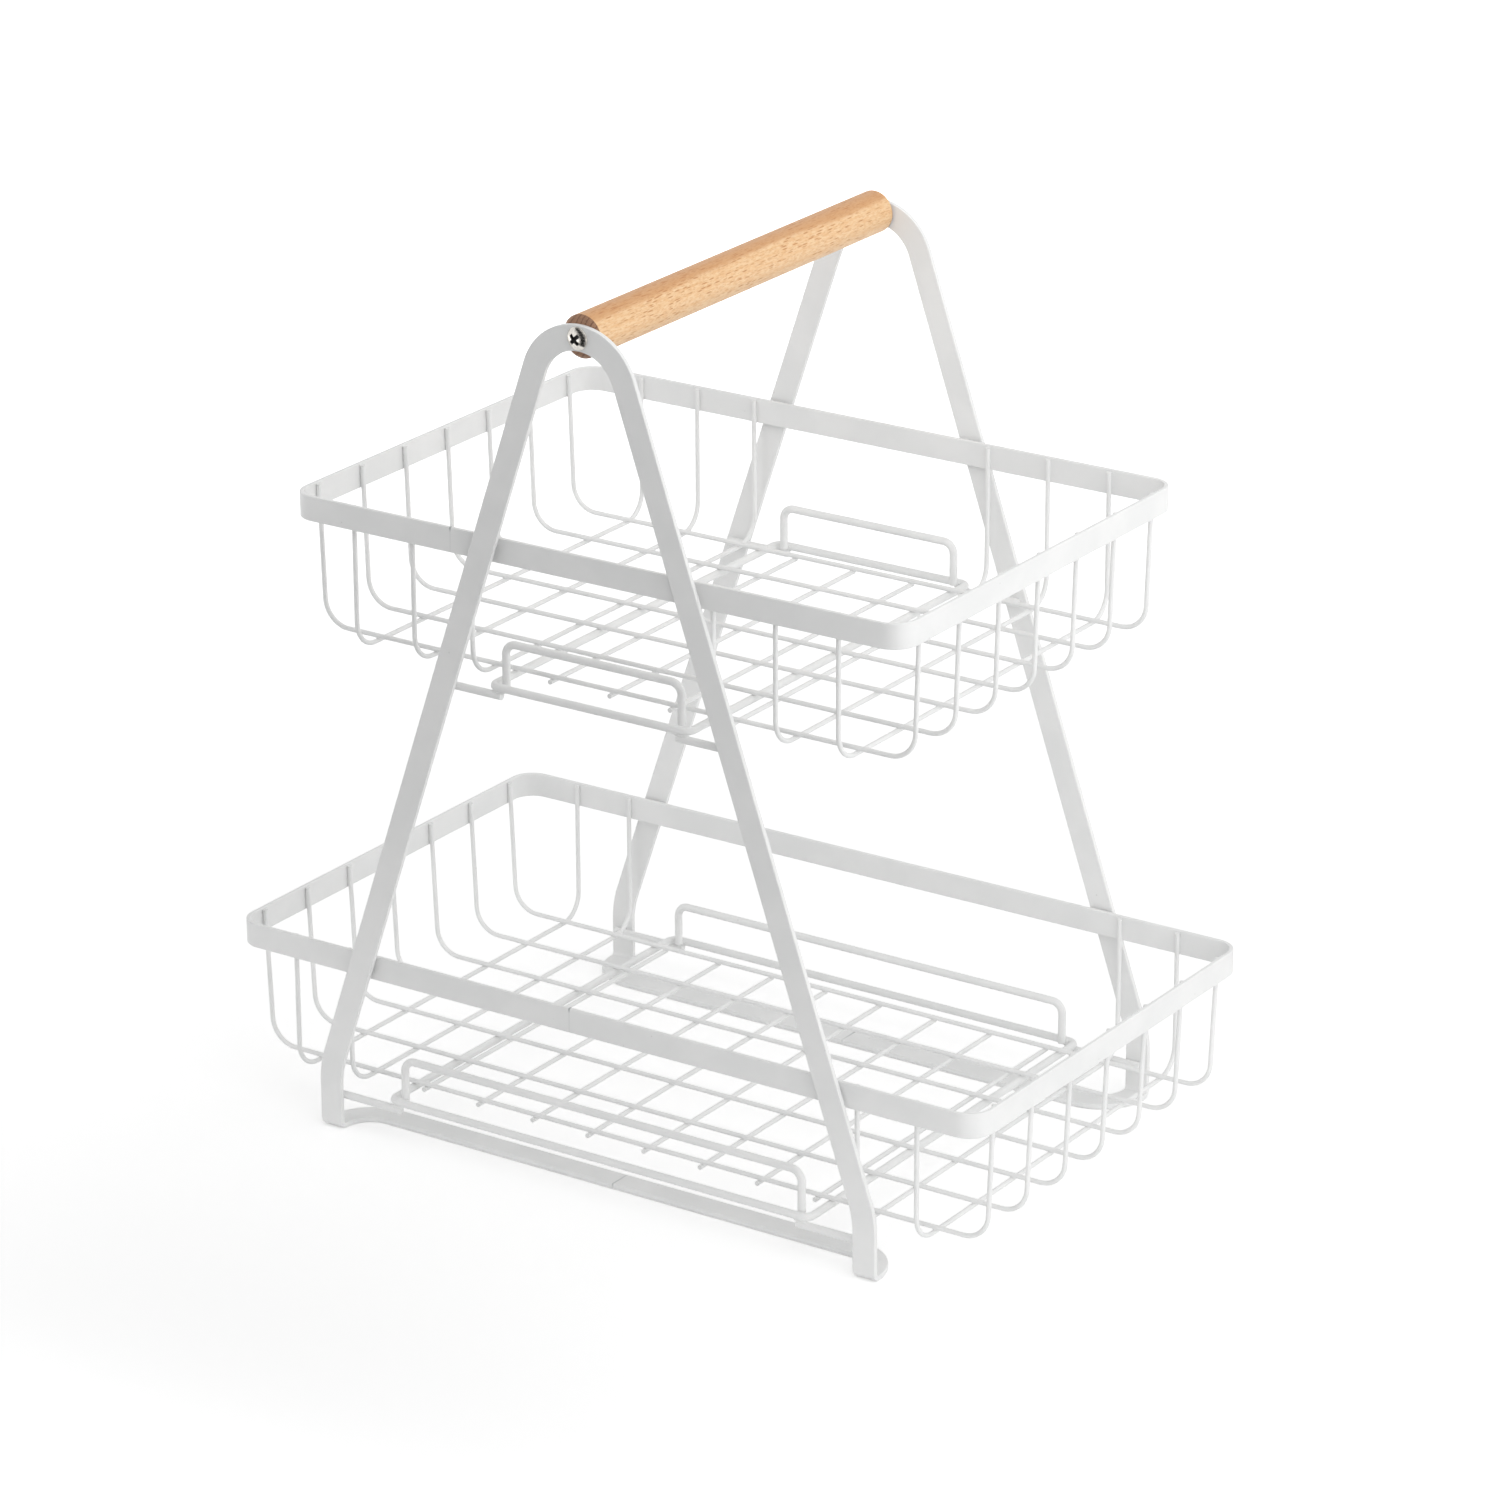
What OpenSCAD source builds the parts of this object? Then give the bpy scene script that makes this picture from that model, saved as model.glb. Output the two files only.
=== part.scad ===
// Two tier wire basket: two bent strip side frames, a wooden carrying handle
// between them, two welded wire carriers and two loose wire baskets that lift out.
// Millimetres. X runs along the baskets, Y along the handle, Z is up, and the
// origin is on the table at the middle of the four feet.

/* [Side frames] */

// Height of the strip at the top of each side frame
frame_h = 418; // [405:1:440]

// Width over the two legs of a side frame at the table
foot_w = 309; // [300:1:330]

// Width of the flat strip
strip_w = 12; // [11:0.5:14]

// Thickness of the flat strip
strip_t = 2.5; // [2:0.1:3]

// Outer radius of the arch at the top
apex_r = 31; // [28:0.5:34]

// Height where the splayed leg would meet its upright end
knee_h = 31; // [28:1:38]

// Inner radius of the bend in the leg
knee_r = 40; // [30:1:50]

// Inner radius of the fold that lays the strip flat on the table
fold_r = 1.5; // [1:0.1:3]

// Inner radius of the foot's corner, bent across the width of the strip
foot_corner_r = 13; // [10:0.5:16]

/* [Handle] */

// Length of the dowel, which is also the space between the side frames
handle_len = 236; // [225:1:250]

// Diameter of the dowel
handle_d = 20; // [18:0.5:24]

// Width of the eased edge at each end of the dowel
handle_ease = 1.2; // [0.6:0.1:2]

// Diameter of the screw's shank
screw_d = 4; // [3.5:0.1:5]

// Length of the screw below its head
screw_len = 28; // [20:1:40]

// Diameter of the screw's pan head
screw_head_d = 10.5; // [9:0.5:11]

// Height of the screw's pan head
screw_head_h = 3; // [2.6:0.1:3.4]

// Radius of the rounded edge of the screw's head
screw_round = 1.8; // [1:0.1:2.4]

// Width of the arms of the screw's cross recess
cross_w = 1.1; // [0.8:0.1:1.4]

// Length of the screw's cross recess from tip to tip
cross_len = 5.2; // [4:0.1:6]

// Depth of the screw's cross recess
cross_deep = 1.8; // [1:0.1:2.2]

// Play between the shank and the hole in the strip
strip_hole_play = 0.5; // [0.3:0.1:0.8]

// Play between the shank and the hole drilled in the dowel
pilot_play = 0.1; // [0.05:0.01:0.2]

/* [Baskets] */

// Length of the upper basket over its rim
upper_len = 330; // [320:1:345]

// Length of the lower basket over its rim
lower_len = 410; // [398:1:425]

// Height of the upper basket's floor wires above the table, to their middle
upper_floor_z = 242.5; // [230:0.5:250]

// Height of the lower basket's floor wires above the table, to their middle
lower_floor_z = 23.5; // [20:0.5:30]

// Depth of both baskets, from the rim's top to the middle of the floor wires
basket_depth = 68; // [60:1:78]

// Gap between each side of a basket and the side frame beside it
side_gap = 1.5; // [1:0.1:3]

// Height of the rim strip
rim_h = 12; // [10:0.5:15]

// Thickness of the rim strip
rim_t = 2; // [1.6:0.1:2.4]

// Outer radius of the rim's corners
rim_r = 12; // [8:0.5:14]

// Diameter of the basket wire
wire_d = 2.3; // [2:0.1:2.6]

// Radius of the wire's bends, to the middle of the wire
wire_bend_r = 13; // [10:0.5:16]

// Lean of the upper basket's end walls in degrees, inwards towards the floor
upper_lean = 1.8; // [0.5:0.1:3]

// Lean of the lower basket's end walls in degrees, inwards towards the floor
lower_lean = 2.4; // [0.5:0.1:4]

// Length that the straight floor wires stick out past the last long wire
stub_len = 2; // [1.5:0.1:5]

// Distance of the wires' ends below the rim's top edge
wire_end_drop = 1; // [0.5:0.1:2]

/* [Carriers] */

// Diameter of the carrier wire
carrier_d = 3.8; // [3.4:0.1:4.2]

// Height of the hoops above the ring they stand on, between wire middles
hoop_h = 20.5; // [16:0.5:26]

// Radius of the hoops' bends, to the middle of the wire
hoop_bend_r = 5.5; // [4.5:0.5:8]

// Radius of the ring's corners, to the middle of the wire
ring_corner_r = 4.5; // [3.5:0.5:6]

// Distance of the upper ring's cross wires outside the last straight floor wire
upper_ring_out = 21; // [14:0.5:24]

// Distance of the lower ring's cross wires outside the last straight floor wire
lower_ring_out = 7.2; // [4.5:0.1:12]

// Distance of a hoop's uprights inside the ring's cross wires
hoop_in = 6; // [5:0.5:10]

// Length of an arm under the ring, measured from the ring's cross wire
arm_under = 6; // [5.5:0.5:9]

// Gap between a resting basket and the ring below it
rest_gap = 0.2; // [0.1:0.05:0.4]

// Depth that welded pieces sink into each other
weld_sink = 0.05; // [0.02:0.01:0.06]

/* [Hidden] */

$fn = 48;

// Side frames
frame_y = handle_len / 2 + strip_t;
apex_z = frame_h - apex_r;
knee_x = foot_w / 2;
knee_slant = atan2(knee_x, apex_z - knee_h);
knee_reach = sqrt(pow(knee_x, 2) + pow(apex_z - knee_h, 2));
leg_angle = knee_slant - asin(apex_r / knee_reach);
knee_out_r = knee_r + strip_w;
knee_tangent = knee_out_r * tan(leg_angle / 2);
fold_out_r = fold_r + strip_t;
foot_corner_x = foot_w / 2 - strip_w - foot_corner_r;
handle_z = frame_h - strip_w / 2;
arch_steps = 18;
knee_steps = 6;

// Handle
screw_point = screw_d;
screw_turn = 45;
round_steps = 6;

// Baskets, with the number of wires at each end wall and on the floor
long_count = 7;
upper_wall_count = 3;
upper_floor_count = 3;
lower_wall_count = 2;
lower_floor_count = 8;
rim_w = handle_len - 2 * side_gap;
long_pitch = (rim_w - 2 * rim_t) / long_count;
last_long_y = long_pitch * (long_count - 1) / 2;
upper_pitch = (upper_len - 2 * rim_t) / (2 * upper_wall_count + upper_floor_count + 1);
lower_pitch = (lower_len - 2 * rim_t) / (2 * lower_wall_count + lower_floor_count + 1);
cross_drop = wire_d - weld_sink;
wire_in = rim_t + wire_d / 2 - weld_sink;

// Where a basket wire's leg meets its bend: both stop short, inside a swelling that
// can't be seen, so that they join at any lean
joint_gap = 0.05;
joint_swell = 0.02;
joint_angle = asin(joint_gap / wire_bend_r);

// Carriers
ring_drop = wire_d / 2 + carrier_d / 2 + rest_gap;
ring_y = handle_len / 2 - carrier_d / 2 + weld_sink;
upper_ring_x = upper_pitch * (upper_floor_count - 1) / 2 + upper_ring_out;
lower_ring_x = lower_pitch * (lower_floor_count - 1) / 2 + lower_ring_out;
upper_ring_z = upper_floor_z - ring_drop;
lower_ring_z = lower_floor_z - ring_drop;
hoop_y = ring_y - carrier_d + weld_sink;
arm_drop = carrier_d - weld_sink;
arm_past_mid = strip_w / 4;

// How far a cut starts before the face that it goes through
cut_over = 1;

// Middle of a leg's width at a given height
function leg_mid(z) =
    z < knee_h ? foot_w / 2 - strip_w / 2
    : (apex_r - (z - apex_z) * sin(leg_angle)) / cos(leg_angle) - strip_w / 2 / cos(leg_angle);

paint = [0.93, 0.93, 0.92];
beech = [0.80, 0.58, 0.40];
nickel = [0.66, 0.65, 0.62];

// Points along an arc, both ends included
function arc_points(center, r, from, to, steps) = [
    for (i = [0:steps])
        let (angle = from + (to - from) * i / steps)
        center + r * [cos(angle), sin(angle)]
];

// One edge of the strip from the middle of the arch down to the fold, seen from the front
function strip_edge(inset) = concat(
    arc_points([0, apex_z], apex_r - inset, 90, leg_angle, arch_steps),
    arc_points([knee_x - knee_out_r, knee_h - knee_tangent], knee_out_r - inset, leg_angle, 0, knee_steps),
    [[knee_x - inset, fold_out_r]]
);

function reversed(points) = [for (i = [len(points) - 1:-1:0]) points[i]];
function mirrored(points) = [for (p = points) [-p[0], p[1]]];

// Outline of the arch and both legs as one bent strip
module strip_outline() {
    outer = strip_edge(0);
    inner = strip_edge(strip_w);
    polygon(concat(
        reversed(mirrored(outer)),
        outer,
        reversed(inner),
        mirrored(inner)
    ));
}

// Quarter of a flat ring that fills the first quadrant
module quarter_ring(outer_r, width) {
    intersection() {
        difference() {
            circle(r = outer_r);
            circle(r = outer_r - width);
        }
        square(outer_r + cut_over);
    }
}

// Outline of the strip where it lies flat, seen from above
module foot_outline() {
    translate([-foot_corner_x, foot_corner_r]) square([2 * foot_corner_x, strip_w]);
    for (side = [0, 1]) mirror([side, 0])
        translate([foot_corner_x, 0]) quarter_ring(foot_corner_r + strip_w, strip_w);
}

// Side frame with its face at y = 0, bent from one strip and closed under the foot
module side_frame() {
    difference() {
        translate([0, strip_t, 0]) rotate([90, 0, 0]) linear_extrude(strip_t) strip_outline();
        translate([0, strip_t + cut_over, handle_z]) rotate([90, 0, 0])
            cylinder(h = strip_t + 2 * cut_over, d = screw_d + strip_hole_play);
    }
    for (start = [-foot_w / 2, foot_w / 2 - strip_w])
        translate([start, fold_out_r, fold_out_r]) rotate([180, 0, 0]) rotate([90, 0, 90])
            rotate_extrude(angle = 90) translate([fold_r, 0]) square([strip_t, strip_w]);
    translate([0, fold_out_r, 0]) linear_extrude(strip_t) foot_outline();
}

module side_frame_front() {
    color(paint) translate([0, -frame_y, 0]) side_frame();
}

module side_frame_back() {
    color(paint) rotate([0, 0, 180]) translate([0, -frame_y, 0]) side_frame();
}

// Turned dowel along Y with eased edges and a hole drilled in each end
module handle() {
    half = handle_len / 2;
    color(beech) translate([0, 0, handle_z]) rotate([90, 0, 0])
        difference() {
            rotate_extrude() polygon([
                [0, -half],
                [handle_d / 2 - handle_ease, -half],
                [handle_d / 2, -half + handle_ease],
                [handle_d / 2, half - handle_ease],
                [handle_d / 2 - handle_ease, half],
                [0, half]
            ]);
            for (side = [0, 180]) rotate([side, 0, 0]) translate([0, 0, -half - cut_over])
                cylinder(h = screw_len - strip_t + 2 * cut_over, d = screw_d + pilot_play);
        }
}

// Pan head screw with a cross recess, pointing along +Z with its seat at z = 0
module pan_screw() {
    head_r = screw_head_d / 2;
    difference() {
        rotate_extrude() polygon(concat(
            [[0, -screw_head_h]],
            arc_points([head_r - screw_round, screw_round - screw_head_h],
                screw_round, -90, 0, round_steps),
            [[head_r, 0], [screw_d / 2, 0], [screw_d / 2, screw_len - screw_point], [0, screw_len]]
        ));
        for (turn = [0, 90]) rotate([0, 0, turn])
            translate([-cross_len / 2, -cross_w / 2, -screw_head_h - cut_over])
                cube([cross_len, cross_w, cross_deep + cut_over]);
    }
}

module handle_screws() {
    color(nickel) for (side = [0, 180]) rotate([0, 0, side])
        translate([0, -frame_y, handle_z]) rotate([-90, screw_turn, 0]) pan_screw();
}

// Wire bent in one plane: each run is [length, bend after it, bend radius]
module bent_wire(d, runs, i = 0) {
    length = runs[i][0];
    turn = runs[i][1];
    radius = runs[i][2];
    cylinder(h = length, d = d);
    if (turn > 0) {
        translate([radius, 0, length]) rotate([90, 0, 0]) rotate([0, 0, 180 - turn])
            rotate_extrude(angle = turn) translate([radius, 0]) circle(d = d);
        if (i < len(runs) - 1)
            translate([radius - radius * cos(turn), 0, length + radius * sin(turn)])
                rotate([0, turn, 0]) bent_wire(d, runs, i + 1);
    }
}

// U shaped basket wire along X: down one end wall, along the floor and up again, with
// legs that lean inwards towards the floor. The bends' place is kept to two decimals.
module u_wire(half, depth, lean) {
    leg = (depth - wire_bend_r + wire_bend_r * sin(lean)) / cos(lean);
    bend_x = round(100 * (half - leg * sin(lean) - wire_bend_r * cos(lean))) / 100;
    translate([-bend_x, 0, 0]) rotate([0, 90, 0]) cylinder(h = 2 * bend_x, d = wire_d);
    for (end = [0, 1]) mirror([end, 0, 0]) translate([bend_x, 0, wire_bend_r]) {
        rotate([90, 0, 0]) rotate([0, 0, -90]) rotate_extrude(angle = 90 - lean - joint_angle)
            translate([wire_bend_r, 0]) circle(d = wire_d);
        translate([wire_bend_r * cos(lean), 0, -wire_bend_r * sin(lean)]) {
            sphere(d = wire_d + joint_swell);
            rotate([0, lean, 0]) translate([0, 0, joint_gap]) cylinder(h = leg - joint_gap, d = wire_d);
        }
    }
}

module rounded_plate(l, w, r) {
    square([l - 2 * r, w], center = true);
    square([l, w - 2 * r], center = true);
    for (x = [-1, 1], y = [-1, 1])
        translate([x * (l / 2 - r), y * (w / 2 - r)]) circle(r = r);
}

module rim(l, floor_z) {
    color(paint) translate([0, 0, floor_z + basket_depth - rim_h]) linear_extrude(rim_h)
        difference() {
            rounded_plate(l, rim_w, rim_r);
            rounded_plate(l - 2 * rim_t, rim_w - 2 * rim_t, rim_r - rim_t);
        }
}

module long_wire(l, floor_z, lean, place) {
    color(paint) translate([0, (place - (long_count + 1) / 2) * long_pitch, floor_z])
        u_wire(l / 2 - wire_in, basket_depth - wire_end_drop, lean);
}

module wall_wire(x, floor_z) {
    color(paint) translate([x, 0, floor_z - cross_drop]) rotate([0, 0, 90])
        u_wire(rim_w / 2 - wire_in, basket_depth - wire_end_drop + cross_drop, 0);
}

module floor_wire(x, floor_z) {
    half = last_long_y + stub_len;
    color(paint) translate([x, half, floor_z - cross_drop]) rotate([90, 0, 0])
        cylinder(h = 2 * half, d = wire_d);
}

// Places of a basket's cross wires, counted from the left
function cross_x(pitch, count, place) = (place - (count + 1) / 2) * pitch;

module upper_rim() {
    rim(upper_len, upper_floor_z);
}

module upper_long_wire(place) {
    long_wire(upper_len, upper_floor_z, upper_lean, place);
}

module upper_wall_wire(place) {
    column = place <= upper_wall_count ? place : place + upper_floor_count;
    wall_wire(cross_x(upper_pitch, 2 * upper_wall_count + upper_floor_count, column), upper_floor_z);
}

module upper_floor_wire(place) {
    floor_wire(cross_x(upper_pitch, upper_floor_count, place), upper_floor_z);
}

module lower_rim() {
    rim(lower_len, lower_floor_z);
}

module lower_long_wire(place) {
    long_wire(lower_len, lower_floor_z, lower_lean, place);
}

module lower_wall_wire(place) {
    column = place <= lower_wall_count ? place : place + lower_floor_count;
    wall_wire(cross_x(lower_pitch, 2 * lower_wall_count + lower_floor_count, column), lower_floor_z);
}

module lower_floor_wire(place) {
    floor_wire(cross_x(lower_pitch, lower_floor_count, place), lower_floor_z);
}

// Closed ring of carrier wire, lying flat
module carrier_ring(half_x, z) {
    r = ring_corner_r;
    long = 2 * (half_x - r);
    short = 2 * (ring_y - r);
    color(paint) translate([half_x - r, -ring_y, z]) rotate([-90, 0, 0]) rotate([0, -90, 0])
        bent_wire(carrier_d, [
            [long, 90, r],
            [short, 90, r],
            [long, 90, r],
            [short, 90, r]
        ]);
}

// Hoop that stands up inside the ring's long side and keeps the basket from sliding
module hoop(half_x, z, side) {
    upright = hoop_h - hoop_bend_r;
    color(paint) translate([-(half_x - hoop_in), side * hoop_y, z])
        bent_wire(carrier_d, [
            [upright, 90, hoop_bend_r],
            [2 * (half_x - hoop_in - hoop_bend_r), 90, hoop_bend_r],
            [upright, 0, 0]
        ]);
}

// Short arm welded to a leg's inner face that carries one corner of the ring
module arm(half_x, z, end, side) {
    arm_z = z - arm_drop;
    inner = half_x - arm_under;
    outer = leg_mid(arm_z) + arm_past_mid;
    color(paint) at_corner(end, side) translate([inner, ring_y, arm_z]) rotate([0, 90, 0])
        cylinder(h = outer - inner, d = carrier_d);
}

// Mirrors a piece made for the right back corner to the corner asked for
module at_corner(end, side) {
    mirror([end < 0 ? 1 : 0, 0, 0]) mirror([0, side < 0 ? 1 : 0, 0]) children();
}

module upper_carrier_ring() {
    carrier_ring(upper_ring_x, upper_ring_z);
}

module upper_hoop(side) {
    hoop(upper_ring_x, upper_ring_z, side);
}

module upper_arm(end, side) {
    arm(upper_ring_x, upper_ring_z, end, side);
}

module lower_carrier_ring() {
    carrier_ring(lower_ring_x, lower_ring_z);
}

module lower_hoop(side) {
    hoop(lower_ring_x, lower_ring_z, side);
}

module lower_arm(end, side) {
    arm(lower_ring_x, lower_ring_z, end, side);
}

side_frame_front();
side_frame_back();
handle();
handle_screws();
upper_carrier_ring();
upper_hoop(-1);  // upper_hoop_front
upper_hoop(1);  // upper_hoop_back
upper_arm(-1, -1);  // upper_arm_front_left
upper_arm(1, -1);  // upper_arm_front_right
upper_arm(-1, 1);  // upper_arm_back_left
upper_arm(1, 1);  // upper_arm_back_right
lower_carrier_ring();
lower_hoop(-1);  // lower_hoop_front
lower_hoop(1);  // lower_hoop_back
lower_arm(-1, -1);  // lower_arm_front_left
lower_arm(1, -1);  // lower_arm_front_right
lower_arm(-1, 1);  // lower_arm_back_left
lower_arm(1, 1);  // lower_arm_back_right
upper_rim();
upper_long_wire(1);  // upper_long_wire_1
upper_long_wire(2);  // upper_long_wire_2
upper_long_wire(3);  // upper_long_wire_3
upper_long_wire(4);  // upper_long_wire_4
upper_long_wire(5);  // upper_long_wire_5
upper_long_wire(6);  // upper_long_wire_6
upper_long_wire(7);  // upper_long_wire_7
upper_wall_wire(1);  // upper_wall_wire_1
upper_wall_wire(2);  // upper_wall_wire_2
upper_wall_wire(3);  // upper_wall_wire_3
upper_wall_wire(4);  // upper_wall_wire_4
upper_wall_wire(5);  // upper_wall_wire_5
upper_wall_wire(6);  // upper_wall_wire_6
upper_floor_wire(1);  // upper_floor_wire_1
upper_floor_wire(2);  // upper_floor_wire_2
upper_floor_wire(3);  // upper_floor_wire_3
lower_rim();
lower_long_wire(1);  // lower_long_wire_1
lower_long_wire(2);  // lower_long_wire_2
lower_long_wire(3);  // lower_long_wire_3
lower_long_wire(4);  // lower_long_wire_4
lower_long_wire(5);  // lower_long_wire_5
lower_long_wire(6);  // lower_long_wire_6
lower_long_wire(7);  // lower_long_wire_7
lower_wall_wire(1);  // lower_wall_wire_1
lower_wall_wire(2);  // lower_wall_wire_2
lower_wall_wire(3);  // lower_wall_wire_3
lower_wall_wire(4);  // lower_wall_wire_4
lower_floor_wire(1);  // lower_floor_wire_1
lower_floor_wire(2);  // lower_floor_wire_2
lower_floor_wire(3);  // lower_floor_wire_3
lower_floor_wire(4);  // lower_floor_wire_4
lower_floor_wire(5);  // lower_floor_wire_5
lower_floor_wire(6);  // lower_floor_wire_6
lower_floor_wire(7);  // lower_floor_wire_7
lower_floor_wire(8);  // lower_floor_wire_8
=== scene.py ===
# %% [markdown]
# # A two tier wire basket
# The rack is two bent steel strips, a wooden handle and two wire carriers, and two loose
# wire baskets rest on it. All of the steel wears one white powder coat. The shapes come
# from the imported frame, so this lesson is about finishes, welds, light and the camera.

# %% Load the frame
import math

import bmesh
import bpy
from mathutils import Matrix, Vector


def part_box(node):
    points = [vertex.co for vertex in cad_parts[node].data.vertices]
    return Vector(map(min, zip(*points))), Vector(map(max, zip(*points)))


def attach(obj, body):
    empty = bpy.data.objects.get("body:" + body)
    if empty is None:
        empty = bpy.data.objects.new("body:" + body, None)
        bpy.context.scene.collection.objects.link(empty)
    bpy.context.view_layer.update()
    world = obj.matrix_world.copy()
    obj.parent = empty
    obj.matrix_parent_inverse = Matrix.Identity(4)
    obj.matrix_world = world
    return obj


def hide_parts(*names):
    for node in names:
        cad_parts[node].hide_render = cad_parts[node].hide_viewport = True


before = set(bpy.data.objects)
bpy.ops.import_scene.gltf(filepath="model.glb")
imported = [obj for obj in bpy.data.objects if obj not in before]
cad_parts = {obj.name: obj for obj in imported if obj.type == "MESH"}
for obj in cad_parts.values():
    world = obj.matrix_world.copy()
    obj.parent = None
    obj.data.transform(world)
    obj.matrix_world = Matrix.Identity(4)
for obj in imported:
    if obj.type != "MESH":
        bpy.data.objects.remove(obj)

scene = bpy.context.scene
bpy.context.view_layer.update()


# %% Places on the frame
def middle(name):
    """The middle of a piece's box."""
    low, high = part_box(name)
    return (low + high) / 2


def half_height(name):
    low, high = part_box(name)
    return (high.z - low.z) / 2


def placed(name, data):
    """Puts a mesh, a lamp or a camera into the scene."""
    made = bpy.data.objects.new(name, data)
    scene.collection.objects.link(made)
    return made


print("the handle's middle is", round(middle("handle").z * 1000), "mm up")

# %% [markdown]
# ## Camera
# The picture was taken with a long lens from the right, a little above the rack. Its
# place was found by fitting the rack's own corners to the picture. It is written here as
# the point it looks from, the point it looks at, and a small roll about that line.

# %% Camera
PICTURE_PIXELS = 1500
FOCAL_PIXELS = 6090.3
SENSOR_MM = 36.0
EYE = Vector((1.46969, -2.17287, 1.19266))
LOOK_AT = Vector((0.00802, 0.0, 0.18408))
ROLL = math.radians(0.236)

scene.view_settings.view_transform = "Standard"
camera = placed("camera", bpy.data.cameras.new("camera"))
looking = (LOOK_AT - EYE).to_track_quat("-Z", "Y").to_matrix().to_4x4()
camera.matrix_world = Matrix.Translation(EYE) @ looking @ Matrix.Rotation(-ROLL, 4, "Z")
camera.data.sensor_width = SENSOR_MM
camera.data.lens = FOCAL_PIXELS / PICTURE_PIXELS * SENSOR_MM
scene.camera = camera
print("lens", round(camera.data.lens, 1), "mm")

# %% [markdown]
# ## Writing shaders as sums
# A shader is a graph of nodes, and a long graph is hard to read as code. Here one small
# class wraps a socket, so that adding or multiplying two sockets adds the Math node that
# does it. Every other node comes from one method, which takes the node's type, then its
# settings, then what goes into its sockets.

# %% Socket and Finish
class Socket:
    """One value in a material's node tree, which can be used in sums."""

    def __init__(self, finish, out):
        self.finish = finish
        self.out = out

    def maths(self, operation, first, second):
        return self.finish.node("ShaderNodeMath", {"operation": operation}, {0: first, 1: second})

    def __add__(self, other):
        return self.maths("ADD", self, other)

    def __radd__(self, other):
        return self.maths("ADD", other, self)

    def __sub__(self, other):
        return self.maths("SUBTRACT", self, other)

    def __rsub__(self, other):
        return self.maths("SUBTRACT", other, self)

    def __mul__(self, other):
        return self.maths("MULTIPLY", self, other)

    def __rmul__(self, other):
        return self.maths("MULTIPLY", other, self)

    def __truediv__(self, other):
        return self.maths("DIVIDE", self, other)

    def __abs__(self):
        return self.maths("ABSOLUTE", self, 0.0)


class Finish:
    """The node tree of a material, or of the world, built up node by node."""

    def __init__(self, owner):
        self.owner = owner
        owner.use_nodes = True
        self.tree = owner.node_tree
        self.tree.nodes.clear()

    def node(self, kind, settings=None, sockets=None, out=0):
        made = self.tree.nodes.new(kind)
        for key, value in (settings or {}).items():
            setattr(made, key, value)
        for key, value in (sockets or {}).items():
            if isinstance(value, Socket):
                self.tree.links.new(value.out, made.inputs[key])
            else:
                made.inputs[key].default_value = value
        return Socket(self, made.outputs[out]) if made.outputs else None


def new_finish(name):
    return Finish(bpy.data.materials.new(name))


# %% [markdown]
# A few helpers follow from that method. Noise is asked for in features to the metre,
# since the rack is modelled in metres. The Map Range node turns a value into a mask
# between two levels, with soft ends. Colours are blended with the Mix node, because a
# Math node would turn them grey.

# %% Shader helpers
MIX_FACTOR, MIX_A, MIX_B, MIX_COLOUR_OUT = 0, 6, 7, 2


def place_of(finish):
    """The point on the surface, in metres, in the frame of the whole rack."""
    return finish.node("ShaderNodeTexCoord", out="Object")


def moved(finish, point, shift=(0, 0, 0), scale=(1, 1, 1)):
    return finish.node("ShaderNodeMapping", {"vector_type": "POINT"},
                       {"Vector": point, "Location": shift, "Scale": scale})


def parts_of(finish, vector):
    """The three numbers that a vector holds."""
    split = finish.node("ShaderNodeSeparateXYZ", None, {"Vector": vector})
    outputs = split.out.node.outputs
    return [Socket(finish, outputs[axis]) for axis in ("X", "Y", "Z")]


def noise(finish, point, per_metre, detail=2.0, rough=0.5):
    return finish.node("ShaderNodeTexNoise", None,
                       {"Vector": point, "Scale": per_metre, "Detail": detail, "Roughness": rough})


def mask(finish, value, low, high):
    """0 where value is under low, 1 where it is over high, and soft in between."""
    return finish.node("ShaderNodeMapRange", {"interpolation_type": "SMOOTHSTEP"},
                       {"Value": value, "From Min": low, "From Max": high})


def blend_colours(finish, factor, a, b):
    sockets = {MIX_FACTOR: factor, MIX_A: a, MIX_B: b}
    return finish.node("ShaderNodeMix", {"data_type": "RGBA"}, sockets, MIX_COLOUR_OUT)


def bumped(finish, height, distance):
    return finish.node("ShaderNodeBump", None,
                       {"Height": height, "Distance": distance, "Strength": 1.0})


def painted(finish, sockets):
    """Ends the graph with the Principled shader and returns the material."""
    shader = finish.node("ShaderNodeBsdfPrincipled", None, sockets)
    finish.node("ShaderNodeOutputMaterial", None, {"Surface": shader})
    return finish.owner


# %% [markdown]
# ## White powder coat
# Powder is sprayed on dry and baked, so it flows into a satin skin with a very fine
# orange peel. Close up it is a little uneven: the layer is thicker here and thinner
# there, and now and then a speck of dust is baked in. A flat white would look like
# plastic in a drawing, so three noises drive the colour, the roughness and the bump.

# %% Coat colours
COAT_BRIGHT = (0.885, 0.887, 0.882, 1)
COAT_THIN = (0.845, 0.850, 0.846, 1)
COAT_SPECK = (0.52, 0.51, 0.49, 1)
COAT_SEAM = (0.40, 0.42, 0.42, 1)
CLOUDS = {"per_metre": 38, "detail": 3}
CLOUD_LEVELS = (0.35, 0.68)
SPECKS_PER_METRE = 75
SPECK_SIZE = 0.022
SPECK_FADE = 1.8
SPECK_SHOWS = 0.3


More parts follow.
